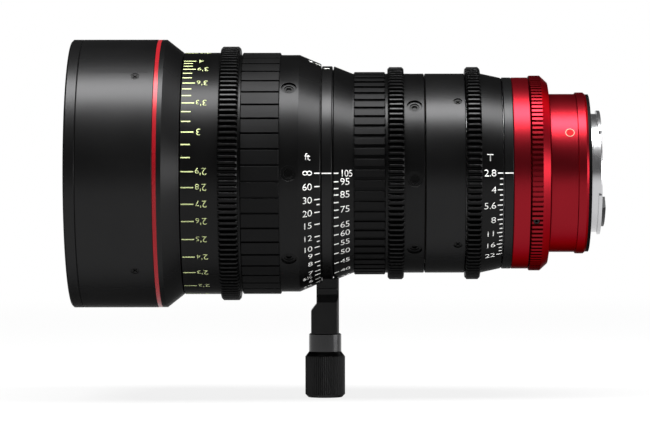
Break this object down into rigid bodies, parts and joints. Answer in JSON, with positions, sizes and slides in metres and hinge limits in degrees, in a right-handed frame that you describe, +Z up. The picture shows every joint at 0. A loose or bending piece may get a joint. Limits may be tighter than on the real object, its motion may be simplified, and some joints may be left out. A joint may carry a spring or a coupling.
{
  "type": "cinema zoom lens",
  "caption": "Zoom lens for film cameras with geared focus, zoom and iris rings, red rear housing, bayonet mount and a support foot.",
  "frame": {"origin": "on the optical axis in the plane of the mount's flange", "axes": "+X along the optical axis towards the camera, front glass at -X; +Z up, the support foot points to -Z; index lines on the -Y side"},
  "size_m": [0.2258, 0.114, 0.1523],
  "materials": {
    "black_barrel": "black anodised, fine satin",
    "red_metal": "red anodised, satin",
    "inner_metal": "turned",
    "cell_black": "matt black anodised",
    "drum_brass": "turned",
    "grip_rubber": "matt moulded",
    "screw_black": "black oxide",
    "mount_chrome": "satin chrome",
    "collar_chrome": "polished, dark",
    "black_plastic": "moulded",
    "seal_rubber": "moulded",
    "gold": "gold plated",
    "blade_steel": "blackened spring steel",
    "lens_glass": "coated, polished"
  },
  "bodies": {
    "barrel": {"front_ring": "black_barrel", "front_barrel": "black_barrel", "front_barrel_screws": "screw_black", "accent_ring": "red_metal", "front_collar": "black_barrel", "focus_sleeve": "inner_metal", "index_ring": "black_barrel", "foot_bracket": "black_barrel", "zoom_sleeve": "inner_metal", "fixed_barrel": "black_barrel", "fixed_barrel_screws": "screw_black", "iris_housing": "inner_metal", "iris_base_plate": "inner_metal", "iris_index_ring": "black_barrel", "rear_band": "red_metal", "relay_sleeve": "inner_metal", "rear_barrel": "red_metal", "rear_rim": "red_metal", "mount_seal": "seal_rubber", "bayonet_mount": "mount_chrome", "bayonet_screws": "mount_chrome", "contact_block": "black_plastic", "contact_pins": "gold"},
    "focus_ring": {"focus_barrel": "black_barrel", "focus_grip": "grip_rubber", "focus_cam_drum": "drum_brass", "focus_screws": "screw_black"},
    "focus_group": {"focus_cell": "cell_black", "front_glass": "lens_glass", "second_glass": "lens_glass", "front_retainer": "cell_black"},
    "zoom_ring": {"zoom_barrel": "black_barrel", "zoom_grip": "grip_rubber", "zoom_cam_drum": "drum_brass", "zoom_screws": "screw_black"},
    "variator": {"variator_cell": "cell_black", "variator_glass": "lens_glass"},
    "compensator": {"compensator_cell": "cell_black", "compensator_glass": "lens_glass"},
    "iris_control": {"iris_ring": "black_barrel", "iris_actuator": "inner_metal"},
    "flange_ring": {"adjust_ring": "red_metal", "adjust_lock_screw": "screw_black"},
    "relay_group": {"relay_cell": "cell_black", "relay_front_glass": "lens_glass", "relay_rear_glass": "lens_glass"},
    "foot_slide": {"foot_collar": "collar_chrome"},
    "foot_screw": {"foot_knob": "black_barrel"},
    "blade_1": {"iris_blade_1": "blade_steel"},
    "blade_2": {"iris_blade_2": "blade_steel"},
    "blade_3": {"iris_blade_3": "blade_steel"},
    "blade_4": {"iris_blade_4": "blade_steel"},
    "blade_5": {"iris_blade_5": "blade_steel"},
    "blade_6": {"iris_blade_6": "blade_steel"},
    "blade_7": {"iris_blade_7": "blade_steel"},
    "blade_8": {"iris_blade_8": "blade_steel"},
    "blade_9": {"iris_blade_9": "blade_steel"},
    "blade_10": {"iris_blade_10": "blade_steel"},
    "blade_11": {"iris_blade_11": "blade_steel"}
  },
  "joints": [
    {"name": "focus_turn", "type": "hinge", "parent": "barrel", "child": "focus_ring", "pos_m": [-0.1424, 0, 0], "axis": [-1, 0, 0], "range_deg": [0, 300]},
    {"name": "focus_slide", "type": "slide", "parent": "barrel", "child": "focus_group", "axis": [-1, 0, 0], "range_m": [0, 0.01]},
    {"name": "zoom_turn", "type": "hinge", "parent": "barrel", "child": "zoom_ring", "pos_m": [-0.089, 0, 0], "axis": [-1, 0, 0], "range_deg": [0, 96]},
    {"name": "variator_slide", "type": "slide", "parent": "barrel", "child": "variator", "axis": [-1, 0, 0], "range_m": [0, 0.023]},
    {"name": "compensator_slide", "type": "slide", "parent": "barrel", "child": "compensator", "axis": [-1, 0, 0], "range_m": [0, 0.006]},
    {"name": "iris_turn", "type": "hinge", "parent": "barrel", "child": "iris_control", "pos_m": [-0.0449, 0, 0], "axis": [-1, 0, 0], "range_deg": [0, 58]},
    {"name": "flange_turn", "type": "hinge", "parent": "barrel", "child": "flange_ring", "pos_m": [-0.0215, 0, 0], "axis": [-1, 0, 0], "range_deg": [-10, 10]},
    {"name": "relay_slide", "type": "slide", "parent": "barrel", "child": "relay_group", "axis": [-1, 0, 0], "range_m": [-0.0005, 0.0005]},
    {"name": "foot_height", "type": "slide", "parent": "barrel", "child": "foot_slide", "axis": [0, 0, -1], "range_m": [0, 0.006]},
    {"name": "foot_turn", "type": "hinge", "parent": "foot_slide", "child": "foot_screw", "pos_m": [-0.11195, 0, -0.0757], "axis": [0, 0, 1], "range_deg": [0, 1440]},
    {"name": "blade_1_swing", "type": "hinge", "parent": "barrel", "child": "blade_1", "pos_m": [-0.04884, 0, -0.0275], "axis": [1, 0, 0], "range_deg": [0, 31.65]},
    {"name": "blade_2_swing", "type": "hinge", "parent": "barrel", "child": "blade_2", "pos_m": [-0.04848, 0.01487, -0.02313], "axis": [1, 0, 0], "range_deg": [0, 31.65]},
    {"name": "blade_3_swing", "type": "hinge", "parent": "barrel", "child": "blade_3", "pos_m": [-0.04812, 0.02501, -0.01142], "axis": [1, 0, 0], "range_deg": [0, 31.65]},
    {"name": "blade_4_swing", "type": "hinge", "parent": "barrel", "child": "blade_4", "pos_m": [-0.04776, 0.02722, 0.00391], "axis": [1, 0, 0], "range_deg": [0, 31.65]},
    {"name": "blade_5_swing", "type": "hinge", "parent": "barrel", "child": "blade_5", "pos_m": [-0.0474, 0.02078, 0.01801], "axis": [1, 0, 0], "range_deg": [0, 31.65]},
    {"name": "blade_6_swing", "type": "hinge", "parent": "barrel", "child": "blade_6", "pos_m": [-0.04704, 0.00775, 0.02639], "axis": [1, 0, 0], "range_deg": [0, 31.65]},
    {"name": "blade_7_swing", "type": "hinge", "parent": "barrel", "child": "blade_7", "pos_m": [-0.04668, -0.00775, 0.02639], "axis": [1, 0, 0], "range_deg": [0, 31.65]},
    {"name": "blade_8_swing", "type": "hinge", "parent": "barrel", "child": "blade_8", "pos_m": [-0.04632, -0.02078, 0.01801], "axis": [1, 0, 0], "range_deg": [0, 31.65]},
    {"name": "blade_9_swing", "type": "hinge", "parent": "barrel", "child": "blade_9", "pos_m": [-0.04596, -0.02722, 0.00391], "axis": [1, 0, 0], "range_deg": [0, 31.65]},
    {"name": "blade_10_swing", "type": "hinge", "parent": "barrel", "child": "blade_10", "pos_m": [-0.0456, -0.02501, -0.01142], "axis": [1, 0, 0], "range_deg": [0, 31.65]},
    {"name": "blade_11_swing", "type": "hinge", "parent": "barrel", "child": "blade_11", "pos_m": [-0.04524, -0.01487, -0.02313], "axis": [1, 0, 0], "range_deg": [0, 31.65]}
  ],
  "couplings": [
    {"joint": "focus_slide", "follows": "focus_turn", "m_per_rad": 0.0019099},
    {"joint": "variator_slide", "follows": "zoom_turn", "m_per_rad": 0.013727},
    {"joint": "compensator_slide", "follows": "zoom_turn", "m_per_rad": 0.003581},
    {"joint": "relay_slide", "follows": "flange_turn", "m_per_rad": 0.0028648},
    {"joint": "foot_height", "follows": "foot_turn", "m_per_rad": 0.00023873},
    {"joint": "blade_1_swing", "follows": "iris_turn", "ratio": 0.54574},
    {"joint": "blade_2_swing", "follows": "iris_turn", "ratio": 0.54574},
    {"joint": "blade_3_swing", "follows": "iris_turn", "ratio": 0.54574},
    {"joint": "blade_4_swing", "follows": "iris_turn", "ratio": 0.54574},
    {"joint": "blade_5_swing", "follows": "iris_turn", "ratio": 0.54574},
    {"joint": "blade_6_swing", "follows": "iris_turn", "ratio": 0.54574},
    {"joint": "blade_7_swing", "follows": "iris_turn", "ratio": 0.54574},
    {"joint": "blade_8_swing", "follows": "iris_turn", "ratio": 0.54574},
    {"joint": "blade_9_swing", "follows": "iris_turn", "ratio": 0.54574},
    {"joint": "blade_10_swing", "follows": "iris_turn", "ratio": 0.54574},
    {"joint": "blade_11_swing", "follows": "iris_turn", "ratio": 0.54574}
  ]
}
